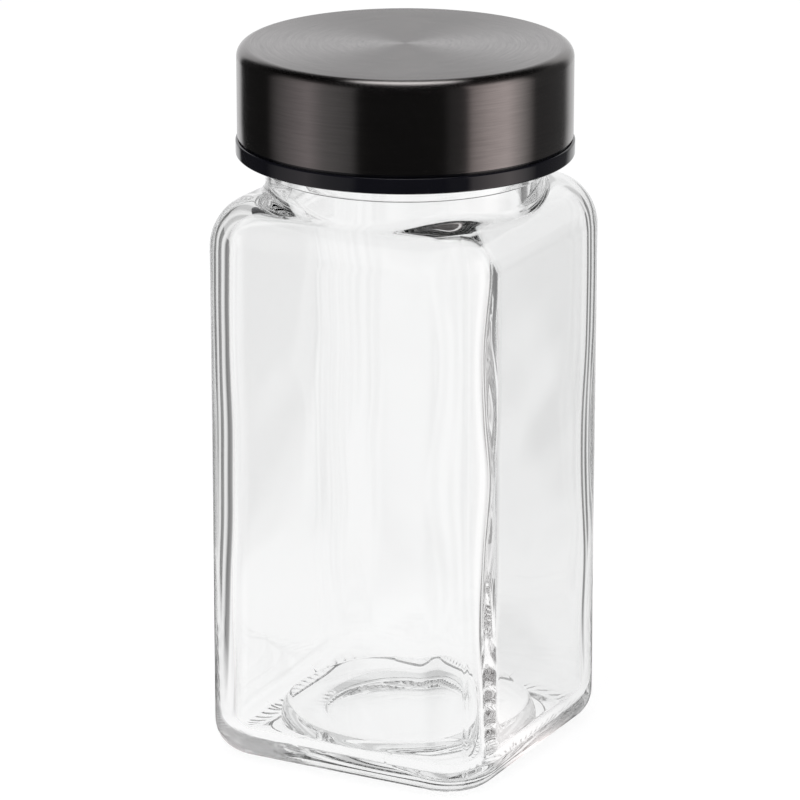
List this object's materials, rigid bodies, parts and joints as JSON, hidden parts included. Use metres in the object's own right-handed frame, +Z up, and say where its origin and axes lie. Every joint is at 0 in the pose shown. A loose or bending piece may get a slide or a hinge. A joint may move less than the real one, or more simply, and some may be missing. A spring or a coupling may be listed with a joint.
{
  "type": "spice jar",
  "caption": "Square clear-glass spice jar with rounded corners, thick dished base and screw neck, closed by a dark brushed-steel lid over a threaded black plastic insert with a liner.",
  "frame": {"origin": "centre of the base, on the plane that the jar stands on", "axes": "+Z up along the axis of the jar, neck and lid; +X and +Y square to the flat side walls"},
  "size_m": [0.0511, 0.051, 0.11],
  "materials": {
    "clear_glass": "clear, fire-polished, slightly wavy inside",
    "dark_brushed_steel": "black-tinted brushed steel, satin",
    "black_gloss_plastic": "gloss black",
    "white_foam": "matt, fine closed-cell foam"
  },
  "bodies": {
    "jar": {"glass_jar": "clear_glass"},
    "liner": {"seal_liner": "white_foam"},
    "lid": {"lid_shell": "dark_brushed_steel", "screw_insert": "black_gloss_plastic"}
  },
  "joints": [
    {"name": "lid_rise", "type": "slide", "parent": "jar", "child": "liner", "axis": [0, 0, 1], "range_m": [0, 0.0168]},
    {"name": "lid_turn", "type": "hinge", "parent": "liner", "child": "lid", "pos_m": [0, 0, 0.1], "axis": [0, 0, 1], "range_deg": [0, 1440]}
  ],
  "couplings": [
    {"joint": "lid_rise", "follows": "lid_turn", "m_per_rad": 0.00066845}
  ]
}
